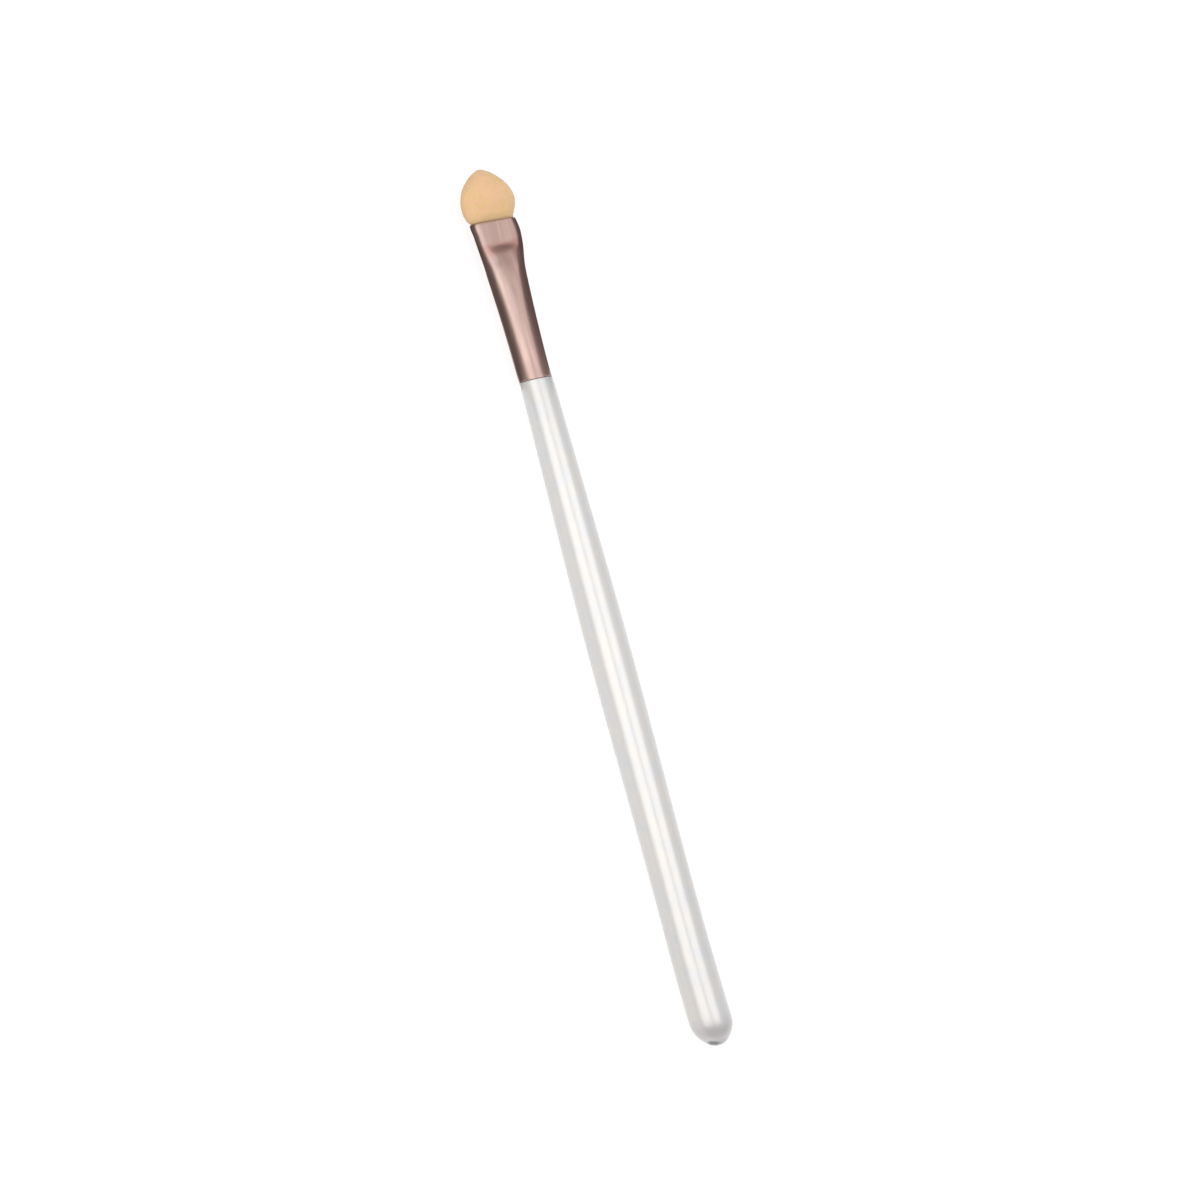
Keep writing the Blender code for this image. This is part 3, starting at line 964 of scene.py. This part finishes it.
def softbox(name, degrees, width, level, colour):
    """A soft light that faces the tool's axis from this angle round it."""
    turn = math.radians(degrees)
    away = Vector((math.sin(turn), 0, math.cos(turn)))
    along = Vector((0, 1, 0))
    data = bpy.data.lights.new(name, "AREA")
    data.shape = "RECTANGLE"
    data.size = width
    data.size_y = LIGHT_LENGTH
    data.energy = level * math.pi * width * LIGHT_LENGTH
    data.color = colour
    light = bpy.data.objects.new(name, data)
    turned = Matrix((along.cross(away), along, away)).transposed().to_4x4()
    light.matrix_world = Matrix.Translation(away * LIGHT_DISTANCE) @ turned
    light.visible_camera = False
    bpy.context.scene.collection.objects.link(light)


def glow_card(name, rows, level, colour):
    """A card that is seen in reflections only; each row is a line of corners on it."""
    shape = bmesh.new()
    rows = [[shape.verts.new(point) for point in row] for row in rows]
    for lower, upper in zip(rows, rows[1:]):
        for corners in zip(lower, lower[1:], upper[1:], upper):
            shape.faces.new(corners)
    mesh = as_mesh(name, shape)
    material, tree = bare_material(name)
    show(tree, add_glow(tree, level, colour))
    card = add_object(name, mesh, material)
    card.visible_camera = False
    card.visible_diffuse = False
    card.visible_transmission = False
    card.visible_shadow = False


def bent_card(name, radius, stations, start, end, level, colour, on_floor=False):
    """A card bent round the ferrule, between the start and end angles at each station.

    On the floor it gets a skirt, down to the floor and in towards the tool.
    """
    rows = []
    for share in shares(8):
        row = []
        for y, low, high in zip(stations, start, end):
            turn = math.radians(between(low, high, share))
            row.append((radius * math.sin(turn), y * MM, AXIS_Z + radius * math.cos(turn)))
        rows.append(row)
    if on_floor:
        rows.sort(key=lambda row: row[0][2])
        side = math.copysign(1, rows[0][0][0])
        for x in (radius, SKIRT_INNER_EDGE):
            rows.insert(0, [(side * x, y * MM, CARD_LIFT) for y in stations])
    glow_card(name, rows, level, colour)


def make_tent():
    """Cards round the ferrule alone, so the metal shows two stripes and dark sides."""
    # Name, stations, edges, level and colour
    flags = (
        ("left_flag", FLAG_STATIONS, LEFT_SIDE, LEFT_END, 0.18, (1.0, 0.90, 0.87)),
        ("right_flag", RIGHT_FLAG_STATIONS, RIGHT_END, RIGHT_SIDE, 0.18, (1.0, 0.77, 0.78)),
    )
    for name, *card in flags:
        bent_card(name, FLAG_RADIUS, *card, on_floor=True)
    cool, plain, warm = (0.94, 1.01, 1.03), (1.0, 1.0, 1.0), (1.0, 0.98, 0.96)
    # Name, which of the stations, edges, level and colour
    scrims = (
        ("left_scrim_near", slice(0, 2), LEFT_END, GAP_START, 1.58, cool),
        ("left_scrim", slice(1, 3), LEFT_END, GAP_START, 2.15, cool),
        ("left_scrim_far", slice(2, 5), LEFT_END, GAP_START, 2.30, cool),
        ("scrim_gap", slice(0, 5), GAP_START, GAP_END, 0.20, warm),
        ("right_scrim_near", slice(0, 2), GAP_END, EDGE_START, 1.06, plain),
        ("right_scrim", slice(1, 5), GAP_END, EDGE_START, 1.25, plain),
    )
    for name, part, start, end, level, colour in scrims:
        stations = SCRIM_STATIONS[part]
        bent_card(name, SCRIM_RADIUS, stations, start[part], end[part], level, colour)
    bent_card("right_edge", SCRIM_RADIUS, EDGE_STATIONS, EDGE_START, RIGHT_END, 1.85, warm)
    end = [
        [(x, END_FLAG_Y, z) for z in (CARD_LIFT, END_FLAG_TOP)]
        for x in (-END_FLAG_HALF_WIDTH, END_FLAG_HALF_WIDTH)
    ]
    glow_card("end_flag", end, 0.26, (1.0, 0.60, 0.56))


# The world's ramps: the direction's axis, where each starts and ends, and its two levels
SIDE_RAMP = ("X", -0.9, 0.9, 0.53, 1.3)
BUTT_SIDE_RAMP = ("Y", -0.95, -0.45, 0.75, 1.0)
BUTT_END_RAMP = ("Y", -0.60, -0.30, 0.42, 0.80)
FOAM_END_RAMP = ("Y", 0.25, 0.60, 0.80, 0.22)
LOW_DOWN_RANGE = (0.02, 0.30)
DIM_LEVEL = 0.22


def make_world():
    """Bright low down, more so towards +X, and over the tool's middle; dim elsewhere."""
    world = bpy.data.worlds.new("studio")
    world.use_nodes = True
    tree = world.node_tree
    add, link = tree.nodes.new, tree.links.new
    split = add("ShaderNodeSeparateXYZ")
    link(add("ShaderNodeTexCoord").outputs["Generated"], split.inputs["Vector"])

    def ramp(axis, *values):
        node = add("ShaderNodeMapRange")
        for socket, value in zip(node.inputs, (split.outputs[axis], *values)):
            feed(tree, socket, value)
        return node.outputs["Result"]

    side = calculate(tree, "MULTIPLY", ramp(*SIDE_RAMP), ramp(*BUTT_SIDE_RAMP))
    low_down = ramp("Z", *LOW_DOWN_RANGE, side, DIM_LEVEL)
    overhead = calculate(tree, "MINIMUM", ramp(*BUTT_END_RAMP), ramp(*FOAM_END_RAMP))
    level = calculate(tree, "MAXIMUM", low_down, overhead)
    background = tree.nodes["Background"]
    background.inputs["Color"].default_value = (1, 1, 1, 1)
    link(level, background.inputs["Strength"])
    bpy.context.scene.world = world


# Camera: straight over the tool, then round it towards -X, with a long lens. The tool
# leans in the picture by TOOL_LEAN
CAMERA_ROUND = math.radians(24)
CAMERA_DISTANCE = 0.600
CAMERA_LENS = 108.901
SENSOR_WIDTH = 36
CLIP_START = 0.01
CLIP_END = 20
LOOK_Y = 1.1098 * MM
LOOK_ACROSS = 0.7801 * MM
TOOL_LEAN = math.radians(15.100)


def make_camera():
    back = Vector((-math.sin(CAMERA_ROUND), 0, math.cos(CAMERA_ROUND)))
    along = Vector((0, 1, 0))
    across = along.cross(back)
    up = along * math.cos(TOOL_LEAN) + across * math.sin(TOOL_LEAN)
    right = up.cross(back)
    target = Vector((0, LOOK_Y, AXIS_Z)) + across * LOOK_ACROSS
    data = bpy.data.cameras.new("camera")
    data.lens = CAMERA_LENS
    data.sensor_width = SENSOR_WIDTH
    data.clip_start = CLIP_START
    data.clip_end = CLIP_END
    camera = bpy.data.objects.new("camera", data)
    turned = Matrix((right, up, back)).transposed().to_4x4()
    camera.matrix_world = Matrix.Translation(target + back * CAMERA_DISTANCE) @ turned
    bpy.context.scene.collection.objects.link(camera)
    bpy.context.scene.camera = camera


make_camera()
make_handle()
make_ferrule()
foam = open_foam()
make_foam("foam_front", 1, "sponge_front", foam)
make_foam("foam_back", -1, "sponge_back", foam)
dress_inner_nodes()
make_floor()
for box in SOFTBOXES:
    softbox(*box)
make_tent()
make_world()
bpy.context.scene.view_settings.view_transform = "Standard"
